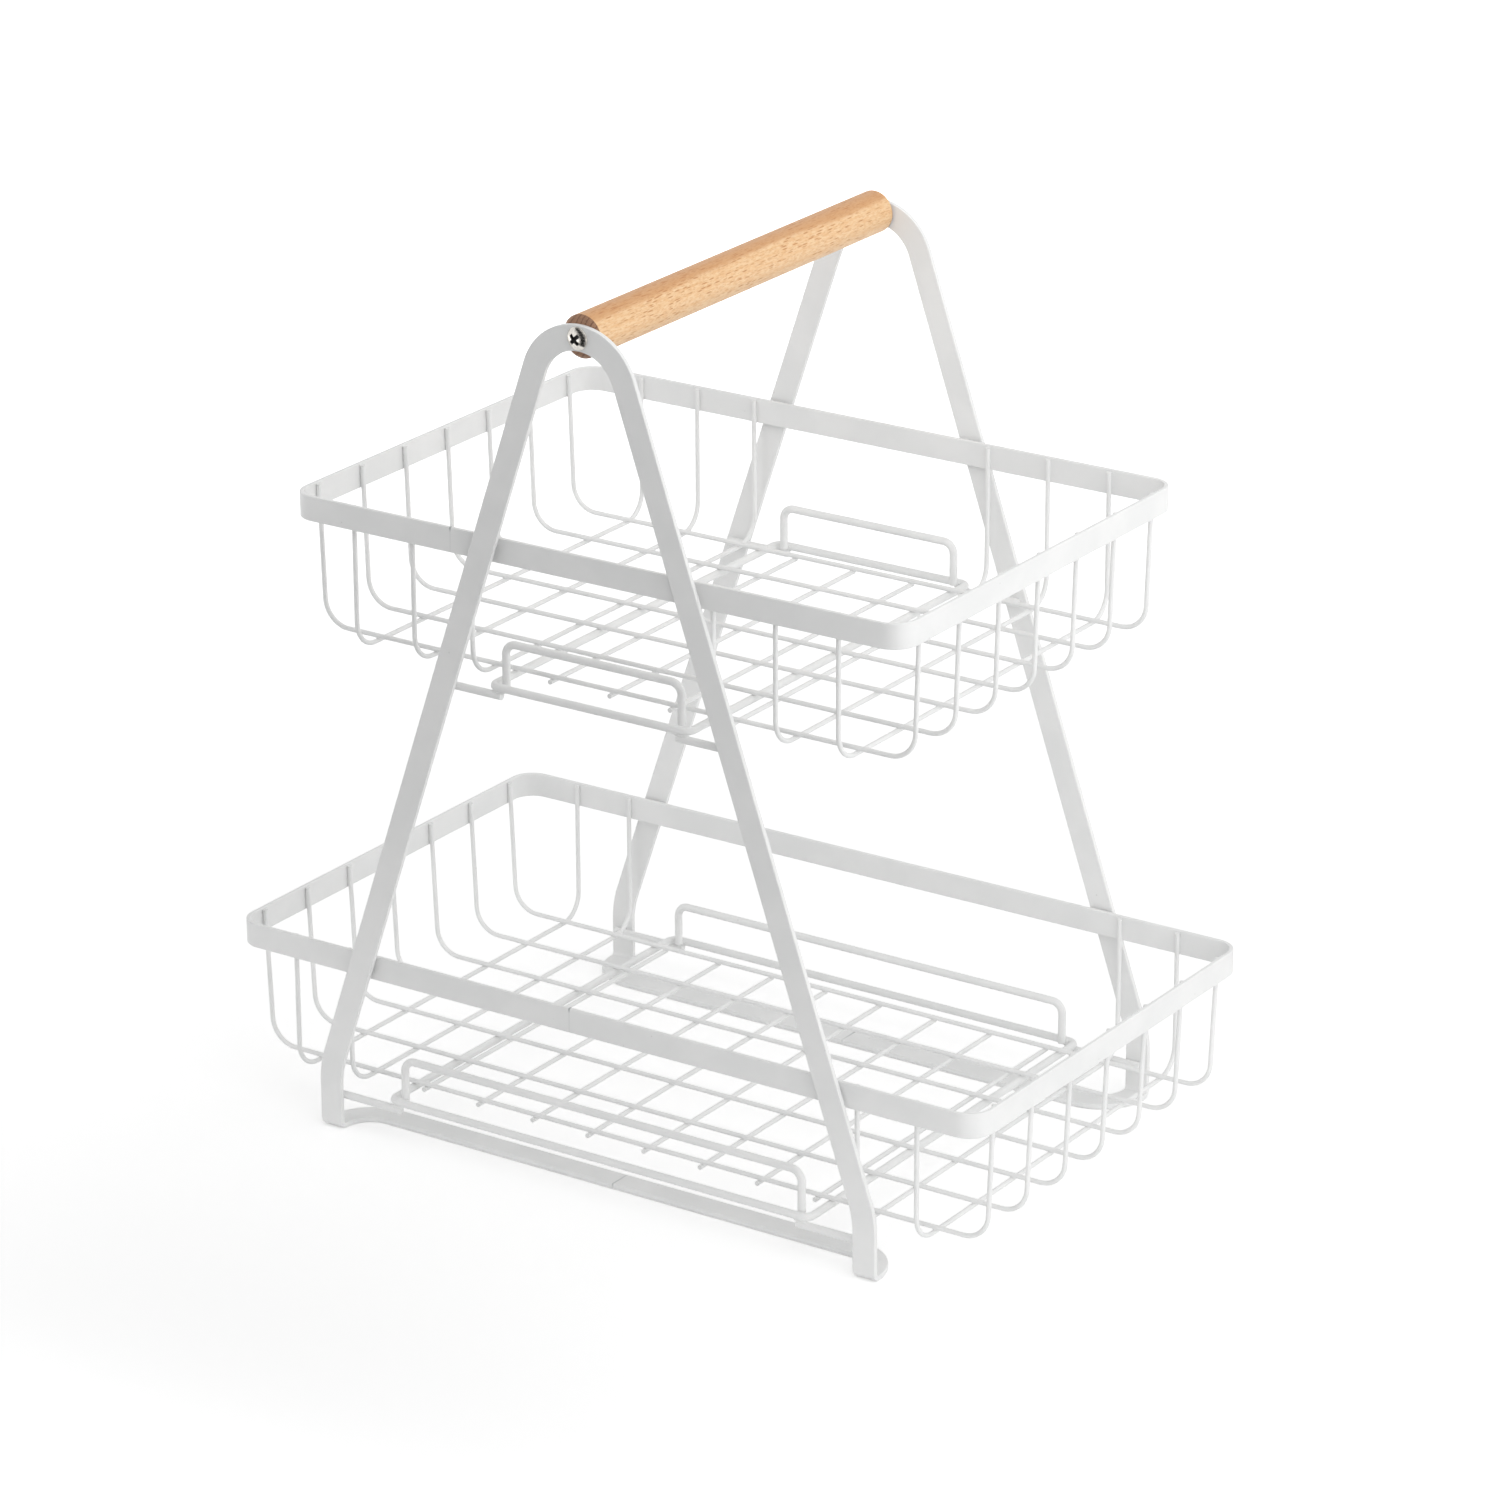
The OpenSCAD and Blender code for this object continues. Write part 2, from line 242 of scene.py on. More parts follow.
def coat_colour(finish, place):
    """White that drifts between a thick and a thin layer, with a few baked-in specks."""
    clouds = mask(finish, noise(finish, place, **CLOUDS), *CLOUD_LEVELS)
    tone = blend_colours(finish, clouds, COAT_THIN, COAT_BRIGHT)
    cells = finish.node("ShaderNodeTexVoronoi", None,
                        {"Vector": place, "Scale": SPECKS_PER_METRE, "Randomness": 1.0})
    specks = 1 - mask(finish, cells, SPECK_SIZE, SPECK_SIZE * SPECK_FADE)
    return blend_colours(finish, specks * SPECK_SHOWS, tone, COAT_SPECK)


print("clouds about", round(1000 / CLOUDS["per_metre"]), "mm across")


# %% Seam line
SEAM_HALF = 0.00032
SEAM_FADE = 0.0003
SEAM_NOTCH = 0.0026
SEAM_BELOW = 0.12
SEAM_SIDE_REACH = 0.02


def seam_line(finish, place, seam_x, side_y, top_z):
    """A thin line across a strip where its two ends were butt welded, on one side only.
    It is dark in the notch at the strip's top edge, and faint below it."""
    x, y, z = parts_of(finish, place)
    across = 1 - mask(finish, abs(x - seam_x), SEAM_HALF, SEAM_HALF + SEAM_FADE)
    near = 1 - mask(finish, abs(y - side_y), 0.0, SEAM_SIDE_REACH)
    notch = mask(finish, z, top_z - SEAM_NOTCH, top_z)
    return across * near * (SEAM_BELOW + (1 - SEAM_BELOW) * notch)


print("seam", round(2000 * SEAM_HALF, 2), "mm wide")


# %% White coat
PEEL_PER_METRE = 850
PEEL_DEPTH = 0.00003
SEAM_DEPTH_IN_PEELS = 3
COAT_ROUGH = 0.40
COAT_ROUGH_DRIFT = 0.12
DRIFT_PER_METRE = 228
COAT_SHINE = 0.5


def white_coat(name, seam=None, seam_shows=0.0):
    finish = new_finish(name)
    place = place_of(finish)
    colour = coat_colour(finish, place)
    height = noise(finish, place, PEEL_PER_METRE)
    rough = COAT_ROUGH + COAT_ROUGH_DRIFT * noise(finish, place, DRIFT_PER_METRE)
    if seam:
        line = seam_line(finish, place, *seam)
        colour = blend_colours(finish, line * seam_shows, colour, COAT_SEAM)
        height = height - SEAM_DEPTH_IN_PEELS * line
    normal = bumped(finish, height, PEEL_DEPTH)
    return painted(finish, {"Base Color": colour, "Roughness": rough, "Normal": normal,
                            "Specular IOR Level": COAT_SHINE})


COAT = white_coat("white_powder_coat")
print("white coat has", len(COAT.node_tree.nodes), "nodes")

# %% [markdown]
# ## Seams
# Each rim is one strip bent round and welded end to end, and so is the strip of each side
# frame, under the rack. The weld's faces are ground flat before coating, which leaves a
# hairline, and a small notch stays at the top edge. It is the same coat with a thin
# darker line at one place, so the seam's place is an argument of the finish.

# %% Seamed coats
RIM_SEAM_SHOWS = 0.9
FOOT_SEAM_SHOWS = 0.6
UPPER_RIM_SEAM_X = -0.0743
LOWER_RIM_SEAM_X = -0.0131
FOOT_SEAM_X = 0.0006
FRAME_LOW, FRAME_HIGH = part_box("side_frame_front")
STRIP_WIDE = 2 * (FRAME_HIGH.z - middle("handle").z)
STRIP_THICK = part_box("handle")[0].y - FRAME_LOW.y


def rim_coat(rim, seam_x):
    low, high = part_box(rim)
    return white_coat("coat_" + rim, (seam_x, low.y, high.z), RIM_SEAM_SHOWS)


def foot_coat(name, side):
    """The back frame is the front one turned round, and its seam is turned with it."""
    foot_y = FRAME_HIGH.y - STRIP_WIDE
    return white_coat(name, (side * FOOT_SEAM_X, side * foot_y, STRIP_THICK), FOOT_SEAM_SHOWS)


SEAMED = {
    "upper_rim": rim_coat("upper_rim", UPPER_RIM_SEAM_X),
    "lower_rim": rim_coat("lower_rim", LOWER_RIM_SEAM_X),
    "side_frame_front": foot_coat("coat_front_frame", 1),
    "side_frame_back": foot_coat("coat_back_frame", -1),
}
print("seams on", ", ".join(SEAMED), "with a strip", round(STRIP_WIDE * 1000, 2), "by",
      round(STRIP_THICK * 1000, 2), "mm")

# %% [markdown]
# ## Beech
# The handle is a turned dowel of pale beech. At this distance it shows faint growth
# rings, a darker streak along its top, fine fibres, and two sizes of short brown fleck,
# which are the wood's rays and pores cut through. The streak is partly warmer heartwood
# and partly painted shade, where the top of the dowel faces away from the light on the
# right. All of them run along Y.
# The point is squeezed along Y before each pattern is read, and that draws the pattern
# out. The end grain drinks the oil and is much darker, so it has its own colour, picked
# out by which way the surface faces.

# %% Beech colours
HANDLE_MIDDLE = middle("handle")
HANDLE_RADIUS = half_height("handle")
BEECH_PALE = (0.87, 0.605, 0.352, 1)
BEECH_WARM = (0.79, 0.465, 0.22, 1)
# The heartwood's darker orange, also used for the fibres and as painted shade on the dowel's top.
BEECH_HEART_AND_SHADE = (0.61, 0.290, 0.108, 1)
BEECH_FLECK = (0.55, 0.235, 0.08, 1)
BEECH_END = (0.40, 0.215, 0.125, 1)
BEECH_END_RING = (0.16, 0.075, 0.04, 1)
print("handle", round(2 * HANDLE_RADIUS * 1000, 1), "mm across")

# %% Rings, heartwood and painted shade
RING_SPACING = 0.0024
PITH = (0.030, 0.0, -0.024)
RING_BENDS = {"per_metre": 45, "stretch": 0.12}
RING_BEND = 0.005
RING_WAVES = {"per_metre": 220, "stretch": 0.12}
RING_WAVE = 0.0008
# The upper side of the dowel, which holds the heartwood and the painted shade.
SHADED_HEART_SIDE = (-0.57, 0.0, 0.82)
SHADED_HEART_LEVELS = (0.20, 0.50)
SHADED_HEART_BENDS = {"per_metre": 60, "stretch": 0.16, "detail": 3}
SHADED_HEART_BEND = 0.7


def along_grain(finish, place, per_metre, stretch, detail=2.0, rough=0.5):
    """Noise drawn out along the dowel."""
    squeezed = moved(finish, place, scale=(1, stretch, 1))
    return noise(finish, squeezed, per_metre, detail, rough)


def from_axis(finish, place):
    """How far a point lies from the Y axis."""
    flat = finish.node("ShaderNodeVectorMath", {"operation": "MULTIPLY"}, {0: place, 1: (1, 0, 1)})
    return finish.node("ShaderNodeVectorMath", {"operation": "LENGTH"}, {0: flat}, "Value")


def ring_depth(finish, place):
    """Where a point lies between one growth ring and the next, from 0 to 1."""
    bends = along_grain(finish, place, **RING_BENDS) * RING_BEND
    waves = along_grain(finish, place, **RING_WAVES) * RING_WAVE
    reach = from_axis(finish, moved(finish, place, PITH)) + bends + waves
    return finish.node("ShaderNodeMath", {"operation": "FRACT"}, {0: reach / RING_SPACING})


def shaded_heart_streak(finish, place):
    """1 on the upper side of the dowel with a wandering edge: heartwood and painted shade."""
    across = finish.node("ShaderNodeVectorMath", {"operation": "DOT_PRODUCT"},
                         {0: place, 1: SHADED_HEART_SIDE}, "Value")
    bends = along_grain(finish, place, **SHADED_HEART_BENDS) - 0.5
    return mask(finish, across / HANDLE_RADIUS + SHADED_HEART_BEND * bends, *SHADED_HEART_LEVELS)


print("a growth ring every", round(RING_SPACING * 1000, 1), "mm")


# %% Rays and pores
DASH_CORE = 0.5
DASH_SOFT = 0.06
RAYS = {"per_metre": 1250, "stretch": 0.13, "size": 0.46, "share": 0.50}
PORES = {"per_metre": 2500, "stretch": 0.16, "size": 0.50, "share": 0.55}
PATCHES = {"per_metre": 120, "stretch": 0.30}
PATCH_LEVELS = (0.36, 0.60)
RAYS_BETWEEN_PATCHES = 0.15


def dashes(finish, place, per_metre, stretch, size, share):
    """Short dashes along the dowel, in a share of the cells only."""
    cells = {"Vector": moved(finish, place, scale=(1, stretch, 1)), "Scale": per_metre}
    reach = finish.node("ShaderNodeTexVoronoi", None, cells)
    dash = 1 - mask(finish, reach, size * DASH_CORE, size)
    chance = parts_of(finish, finish.node("ShaderNodeTexVoronoi", None, cells, "Color"))[0]
    return dash * mask(finish, chance, 1 - share, 1 - share + DASH_SOFT)


def patchy_rays(finish, place):
    patches = mask(finish, along_grain(finish, place, **PATCHES), *PATCH_LEVELS)
    shows = RAYS_BETWEEN_PATCHES + (1 - RAYS_BETWEEN_PATCHES) * patches
    return dashes(finish, place, **RAYS) * shows


print("rays in cells of", 1000 / RAYS["per_metre"], "mm, pores in", 1000 / PORES["per_metre"], "mm")


# %% Side of the dowel
MOTTLE = {"per_metre": 900, "stretch": 0.30, "detail": 3, "rough": 0.6}
MOTTLE_LEVELS = (0.38, 0.64)
MOTTLE_SHOWS = 0.65
LATE_WOOD_SHOWS = 0.30
SHADED_HEART_SHOWS = 0.72
FIBRE_LEVELS = (0.46, 0.74)
FIBRES_SHOW = 0.22
FIBRES_MORE_IN_SHADED_HEART = 0.42
PORES_SHOW = 0.36
PORES_MORE_IN_SHADED_HEART = 0.24
RAYS_SHOW = 0.85


def beech_side(finish, place, late, fibres, rays):
    """The colour of the dowel's round side, with one layer of the grain over another."""
    mottle = mask(finish, along_grain(finish, place, **MOTTLE), *MOTTLE_LEVELS)
    shaded_heart = shaded_heart_streak(finish, place)
    threads = mask(finish, fibres, *FIBRE_LEVELS) * (FIBRES_SHOW + FIBRES_MORE_IN_SHADED_HEART * shaded_heart)
    pores = dashes(finish, place, **PORES) * (PORES_SHOW + PORES_MORE_IN_SHADED_HEART * shaded_heart)
    layers = (
        (mottle * MOTTLE_SHOWS, BEECH_WARM),
        (late * LATE_WOOD_SHOWS, BEECH_WARM),
        # The darker top streak is heartwood and painted shade, where the top faces away from the
        # right light.
        (shaded_heart * SHADED_HEART_SHOWS, BEECH_HEART_AND_SHADE),
        (threads, BEECH_HEART_AND_SHADE),
        (pores, BEECH_FLECK),
        (rays * RAYS_SHOW, BEECH_FLECK),
    )
    colour = BEECH_PALE
    for shows, layer in layers:
        colour = blend_colours(finish, shows, colour, layer)
    return colour


# %% Ends of the dowel
END_LATE_WOOD_SHOWS = 0.8
CUT_PORES_PER_METRE = 1700
CUT_PORE_LEVELS = (0.42, 0.62)
CUT_PORES_SHOW = 0.35


def beech_end(finish, place, late):
    """The dark colour of the two ends, where rings and pores are cut across."""
    cut_pores = mask(finish, noise(finish, place, CUT_PORES_PER_METRE), *CUT_PORE_LEVELS)
    colour = blend_colours(finish, late * END_LATE_WOOD_SHOWS, BEECH_END, BEECH_END_RING)
    return blend_colours(finish, cut_pores * CUT_PORES_SHOW, colour, BEECH_END_RING)


# %% Beech
LATE_WOOD_LEVELS = (0.30, 0.48)
FIBRES = {"per_metre": 1900, "stretch": 0.06, "detail": 3, "rough": 0.6}
END_FACING_LEVELS = (0.35, 0.60)
BEECH_ROUGH = 0.34
FIBRE_ROUGH = 0.14
RAY_ROUGH = 0.12
FIBRE_RISE = 0.6
RAY_SINK = 0.8
LATE_WOOD_SINK = 0.4
BEECH_BUMP = 0.00006
BEECH_SHINE = 0.42


def beech():
    finish = new_finish("oiled_beech")
    place = moved(finish, place_of(finish), -HANDLE_MIDDLE)
    late = mask(finish, abs(ring_depth(finish, place) - 0.5), *LATE_WOOD_LEVELS)
    fibres = along_grain(finish, place, **FIBRES)
    rays = patchy_rays(finish, place)
    facing = parts_of(finish, finish.node("ShaderNodeNewGeometry", out="Normal"))[1]
    end = mask(finish, abs(facing), *END_FACING_LEVELS)
    side = beech_side(finish, place, late, fibres, rays)
    colour = blend_colours(finish, end, side, beech_end(finish, place, late))
    rough = BEECH_ROUGH + FIBRE_ROUGH * fibres + RAY_ROUGH * rays
    height = FIBRE_RISE * fibres - RAY_SINK * rays - LATE_WOOD_SINK * late
    normal = bumped(finish, height, BEECH_BUMP)
    return painted(finish, {"Base Color": colour, "Roughness": rough, "Normal": normal,
                            "Specular IOR Level": BEECH_SHINE})


BEECH = beech()
print("beech has", len(BEECH.node_tree.nodes), "nodes")

# %% [markdown]
# ## Nickel
# The two screws are nickel plated. A lathe leaves faint circles on the head. The cross
# recess is painted near black and not metallic, which is partly the thin plating there and
# partly painted shade, since little light gets in. The circles are a sine of the distance
# from the screw's axis, and the recess is whatever lies deeper than the dome's own curve.

# %% Screw sizes
screws_low, screws_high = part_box("handle_screws")
SCREW_FRONT = screws_low.y
SCREW_SEAT = FRAME_LOW.y
HEAD_RADIUS = (screws_high.x - screws_low.x) / 2
HEAD_LAND = 0.0005
DOME_TALL = SCREW_SEAT - SCREW_FRONT - HEAD_LAND
DOME_RADIUS = (HEAD_RADIUS**2 + DOME_TALL**2) / (2 * DOME_TALL)
print("screw head", round(HEAD_RADIUS * 2000, 1), "mm, dome radius",
      round(DOME_RADIUS * 1000, 2), "mm")

# %% Nickel
NICKEL = (0.80, 0.765, 0.71, 1)
NICKEL_DULL = (0.62, 0.59, 0.54, 1)
# Near black for the recess: thin plating, and painted shade where little light gets in.
RECESS_PAINTED_SHADE = (0.012, 0.011, 0.010, 1)
RECESS_WALL = (0.00012, 0.00050)
RECESS_EDGE = (0.8 * HEAD_RADIUS, 0.9 * HEAD_RADIUS)
TURNING_PITCH = 0.00028
DULL_SPOTS = {"per_metre": 900, "detail": 3}
DULL_LEVELS = (0.4, 0.7)
DULL_SHOWS = 0.6
NICKEL_ROUGH = 0.16
DULL_ROUGH = 0.10
RECESS_ROUGH = 0.4
CIRCLE_RISE = 0.5
DULL_RISE = 0.6
NICKEL_BUMP = 0.00001


def screw_recess(finish, place, reach):
    """1 in the cross recess, which is what lies deeper than the dome."""
    curve = finish.node("ShaderNodeMath", {"operation": "SQRT"},
                        {0: DOME_RADIUS**2 - reach * reach})
    depth = -SCREW_FRONT - abs(parts_of(finish, place)[1]) - (DOME_RADIUS - curve)
    return mask(finish, depth, *RECESS_WALL) * (1 - mask(finish, reach, *RECESS_EDGE))


def nickel():
    finish = new_finish("nickel_plate")
    place = moved(finish, place_of(finish), (0, 0, -HANDLE_MIDDLE.z))
    reach = from_axis(finish, place)
    circles = finish.node("ShaderNodeMath", {"operation": "SINE"},
                          {0: reach * (2 * math.pi / TURNING_PITCH)})
    dull = mask(finish, noise(finish, place, **DULL_SPOTS), *DULL_LEVELS)
    inside = screw_recess(finish, place, reach)
    colour = blend_colours(finish, dull * DULL_SHOWS, NICKEL, NICKEL_DULL)
    # The recess is painted near black, which is painted shade together with the thin plating.
    colour = blend_colours(finish, inside, colour, RECESS_PAINTED_SHADE)
    rough = NICKEL_ROUGH + DULL_ROUGH * dull + RECESS_ROUGH * inside
    normal = bumped(finish, CIRCLE_RISE * circles + DULL_RISE * dull, NICKEL_BUMP)
    return painted(finish, {"Base Color": colour, "Metallic": 1 - inside, "Roughness": rough,
                            "Normal": normal})


SCREW_METAL = nickel()
print("nickel has", len(SCREW_METAL.node_tree.nodes), "nodes")

# %% [markdown]
# ## Dressing the frame's own pieces
# The pieces' shapes are right, but their edges are knife sharp, and coated steel never
# is. A small node group first joins the faces' shared points and marks the true corners,
# and a Bevel modifier then rounds them. A modifier leaves the mesh below it untouched.

# %% Clean shading
SHARP_ANGLE = math.radians(32)
SAME_POINT = 0.000004


def clean_shading():
    group = bpy.data.node_groups.new("clean_shading", "GeometryNodeTree")
    group.interface.new_socket("Mesh", in_out="INPUT", socket_type="NodeSocketGeometry")
    group.interface.new_socket("Mesh", in_out="OUTPUT", socket_type="NodeSocketGeometry")
    add, link = group.nodes.new, group.links.new
    start, end = add("NodeGroupInput"), add("NodeGroupOutput")
    merge, plain = add("GeometryNodeMergeByDistance"), add("GeometryNodeRemoveAttribute")
    smooth, sharp = add("GeometryNodeSetShadeSmooth"), add("GeometryNodeSetShadeSmooth")
    angle, corner = add("GeometryNodeInputMeshEdgeAngle"), add("FunctionNodeCompare")
    merge.inputs["Distance"].default_value = SAME_POINT
    plain.inputs["Name"].default_value = "custom_normal"
    sharp.domain = "EDGE"
    sharp.inputs["Shade Smooth"].default_value = False
    corner.inputs["B"].default_value = SHARP_ANGLE
    link(start.outputs[0], merge.inputs["Geometry"])
    link(merge.outputs["Geometry"], plain.inputs["Geometry"])
    link(plain.outputs["Geometry"], smooth.inputs["Geometry"])
    link(smooth.outputs["Geometry"], sharp.inputs["Geometry"])
    link(angle.outputs["Unsigned Angle"], corner.inputs["A"])
    link(corner.outputs["Result"], sharp.inputs["Selection"])
    link(sharp.outputs["Geometry"], end.inputs[0])
    return group


CLEAN_SHADING = clean_shading()
print("clean shading has", len(CLEAN_SHADING.nodes), "nodes")

# %% Round the edges
STRIP_EDGE = 0.00045
WIRE_EDGE = 0.00035
HANDLE_EDGE = 0.0007
SCREW_EDGE = 0.00010
EDGE_SEGMENTS = 3
SCREW_EDGE_SEGMENTS = 2


def round_edges(piece, width, segments=EDGE_SEGMENTS):
    shading = piece.modifiers.new("clean shading", "NODES")
    shading.node_group = CLEAN_SHADING
    bevel = piece.modifiers.new("rounded edges", "BEVEL")
    bevel.width = width
    bevel.segments = segments
    bevel.limit_method = "ANGLE"
    bevel.angle_limit = SHARP_ANGLE
    bevel.harden_normals = True
    bevel.miter_outer = "MITER_ARC"


def give_finish(piece, material):
    piece.data.materials.clear()
    piece.data.materials.append(material)


def edge_of(name):
    if name == "handle":
        return HANDLE_EDGE
    if name == "handle_screws":
        return SCREW_EDGE
    return STRIP_EDGE if name in SEAMED else WIRE_EDGE


FINISHES = {"handle": BEECH, "handle_screws": SCREW_METAL, **SEAMED}
for name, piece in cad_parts.items():
    give_finish(piece, FINISHES.get(name, COAT))
    round_edges(piece, edge_of(name))
print("dressed", len(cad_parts), "pieces")

# %% [markdown]
# ## Welds
# A wire basket is held together by welds at every crossing. Two current carrying jaws
# squeeze the wires, the metal melts where they touch, and the powder later fills what is
# left of the groove. From a step away this is what makes a crossing look welded and not
# merely stacked. Each weld here is its own small mesh, shaped by the two surfaces that
# it joins, and all the welds of one row are gathered in one piece.

# %% Meshes from sections
WIRE_RADIUS = half_height("upper_floor_wire_1")
CARRIER_RADIUS = half_height("upper_arm_front_left")
WELD_SINK = 0.00005
BURY = 0.00006


def turns(steps):
    """The angles of a number of equal steps round a circle."""
    return [2 * math.pi * i / steps for i in range(steps)]


def piece_from(name, mesh):
    """Puts a finished bmesh into the scene as a piece."""
    data = bpy.data.meshes.new(name)
    mesh.to_mesh(data)
    mesh.free()
    return placed(name, data)


def skin_over(mesh, sections):
    """Adds a closed skin over rings of points, each ring with the same number of points."""
    rings = [[mesh.verts.new(point) for point in ring] for ring in sections]
    for ring, following in zip(rings, rings[1:]):
        for i in range(len(ring)):
            j = (i + 1) % len(ring)
            mesh.faces.new((ring[i], ring[j], following[j], following[i]))
    mesh.faces.new(reversed(rings[0]))
    mesh.faces.new(rings[-1])


def skinned(name, bars):
    """One piece made of closed bars, each given by its sections."""
    mesh = bmesh.new()
    for sections in bars:
        skin_over(mesh, sections)
    bmesh.ops.recalc_face_normals(mesh, faces=mesh.faces)
    return piece_from(name, mesh)


def welds_piece(name, body, welds):
    """One piece that holds a row of welds, each given by its sections."""
    piece = skinned(name, welds)
    piece.data.shade_smooth()
    give_finish(piece, COAT)
    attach(piece, body)
    print(name, "has", len(welds), "welds and", len(piece.data.polygons), "faces")


print("wire", round(WIRE_RADIUS * 2000, 2), "mm, carrier wire",
      round(CARRIER_RADIUS * 2000, 2), "mm")

# %% [markdown]
# ### Crossings on the floors
# Where a long wire lies on a cross wire, the gap between the two grows the same way in
# every direction, so the weld is a small waisted ring. Its lower edge follows the cross
# wire, its upper edge follows the long wire, and its waist is drawn in.

# %% Crossing weld
CROSSING_STEPS = 20
CROSSING_LEVELS = (0.0, 0.25, 0.5, 0.75, 1.0)
CROSSING_REACH = 0.66
CROSSING_FLARE = 0.34


def crossing_weld(point):
    """A waisted ring between a wire along X and a wire along Y below it."""
    sections = []
    for level in CROSSING_LEVELS:
        flare = 1 + CROSSING_FLARE * (2 * level - 1) ** 2
        wide = CROSSING_REACH * WIRE_RADIUS * flare
        ring = []
        for angle in turns(CROSSING_STEPS):
            x, y = wide * math.cos(angle), wide * math.sin(angle)
            low = math.sqrt(WIRE_RADIUS**2 - x**2) - WIRE_RADIUS - BURY
            high = WIRE_RADIUS - math.sqrt(WIRE_RADIUS**2 - y**2) + BURY
            ring.append(point + Vector((x, y, low + (high - low) * level)))
        sections.append(ring)
    return sections


def wires(prefix):
    return sorted(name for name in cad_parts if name.startswith(prefix))


def floor_crossings(basket):
    cross_wires = wires(basket + "_wall_wire") + wires(basket + "_floor_wire")
    found = []
    for long_wire in wires(basket + "_long_wire"):
        for cross_wire in cross_wires:
            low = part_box(long_wire)[0].z
            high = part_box(cross_wire)[0].z + 2 * WIRE_RADIUS
            found.append(Vector((middle(cross_wire).x, middle(long_wire).y, (low + high) / 2)))
    return found


for basket in ("upper", "lower"):
    crossings = [crossing_weld(point) for point in floor_crossings(basket)]
    welds_piece(basket + "_floor_welds", basket + "_basket", crossings)

# %% [markdown]
# ### Grooves along the rims and the legs
# A wire that lies along a flat strip leaves a narrow groove on each side. The baskets'
# wires stand up against the inside of the rim, and the carriers' arms lie along the inner
# face of the legs. The coat bridges both grooves, so the section is one closed outline
# that starts in the strip and ends in the wire, and it narrows towards both ends.

# %% Groove weld
UP = Vector((0, 0, 1))
GROOVE_FOOT = 0.70
GROOVE_WAIST = 0.50
GROOVE_WAIST_HEIGHT = 0.32
GROOVE_TOP = 0.46
GROOVE_TAPER = (
    (0.0, 0.45), (0.08, 0.82), (0.2, 1.0), (0.5, 0.94), (0.8, 1.0), (0.92, 0.82), (1.0, 0.45),
)


def groove_weld(start, along, away, radius, length, lean=0.0):
    """Fills both grooves between a strip's face and the wire along it. The point start is
    on the face, along runs down the wire and away points from the face to the wire."""
    across = along.cross(away)
    sections = []
    for share, wide in GROOVE_TAPER:
        run = share * length
        centre = radius - WELD_SINK + run * math.tan(lean)
        top = GROOVE_TOP * radius * wide
        on_wire = centre - math.sqrt(radius**2 - top**2) + BURY
        half = [
            (GROOVE_FOOT * radius * wide, -BURY),
            (GROOVE_WAIST * radius * wide, on_wire * GROOVE_WAIST_HEIGHT),
            (top, on_wire),
        ]
        outline = [(-a, b) for a, b in half] + [(0.0, centre)] + half[::-1] + [(0.0, -2 * BURY)]
        sections.append([start + along * run + across * a + away * b for a, b in outline])
    return sections


# %% Grooves along the rims
END_LEAN = {"upper": math.radians(1.8), "lower": math.radians(2.4)}
GROOVE_END_GAP = 0.0006


def rim_grooves(basket):
    rim_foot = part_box(basket + "_rim")[0].z
    found = []
    for name in wires(basket + "_long_wire") + wires(basket + "_wall_wire"):
        is_long = "_long_" in name
        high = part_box(name)[1]
        top = high.z - GROOVE_END_GAP
        length = high.z - rim_foot - 2 * GROOVE_END_GAP
        lean = END_LEAN[basket] if is_long else 0.0
        for side in (-1, 1):
            if is_long:
                face = Vector((side * (high.x - WELD_SINK), middle(name).y, top))
                away = Vector((-side, 0, 0))
            else:
                face = Vector((middle(name).x, side * (high.y - WELD_SINK), top))
                away = Vector((0, -side, 0))
            found.append(groove_weld(face, -UP, away, WIRE_RADIUS, length, lean))
    return found


for basket in ("upper", "lower"):
    welds_piece(basket + "_rim_welds", basket + "_basket", rim_grooves(basket))

# %% Grooves along the legs
ARM_PAST_MIDDLE = STRIP_WIDE / 4
LEG_LEAN = {"upper": math.radians(18.9), "lower": 0.0}


def arm_grooves(tier):
    length = ARM_PAST_MIDDLE + STRIP_WIDE / 2 / math.cos(LEG_LEAN[tier])
    found = []
    for name in wires(tier + "_arm"):
        low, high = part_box(name)
        end = 1 if middle(name).x > 0 else -1
        side = 1 if middle(name).y > 0 else -1
        outer_x = max(abs(low.x), abs(high.x))
        face_y = side * (max(abs(low.y), abs(high.y)) - WELD_SINK)
        start = Vector((end * (outer_x - length), face_y, middle(name).z))
        along = Vector((end, 0, 0))
        away = Vector((0, -side, 0))
        found.append(groove_weld(start, along, away, CARRIER_RADIUS, length))
    return found


welds_piece("leg_arm_welds", "rack", arm_grooves("upper") + arm_grooves("lower"))

# %% [markdown]
# ### Beads on the carriers
# The thicker carrier wires are joined with a short bead of weld metal instead: one at
# each foot of a hoop, and one where each arm meets its ring. A bead is a rounded bar
# whose width ripples along its length, as the molten pool left it.

# %% Bead
BEAD_STATIONS = 15
BEAD_ROUND = 12
BEAD_END = 0.97
BEAD_RIPPLES = 5
BEAD_RIPPLE_DEPTH = 0.07


def bead(point, along, length, wide, tall):
    """A rippled bead that runs along one direction, wide sideways and tall upwards."""
    across = UP.cross(along).normalized()
    sections = []
    for i in range(BEAD_STATIONS):
        share = BEAD_END * (2 * i / (BEAD_STATIONS - 1) - 1)
        ripple = 1 + BEAD_RIPPLE_DEPTH * math.cos(BEAD_RIPPLES * math.pi * share)
        swell = math.sqrt(1 - share**2) * ripple
        sideways = across * (wide / 2 * swell)
        upwards = UP * (tall / 2 * swell)
        centre = point + along * (share * length / 2)
        sections.append([centre + sideways * math.cos(angle) + upwards * math.sin(angle)
                         for angle in turns(BEAD_ROUND)])
    return sections


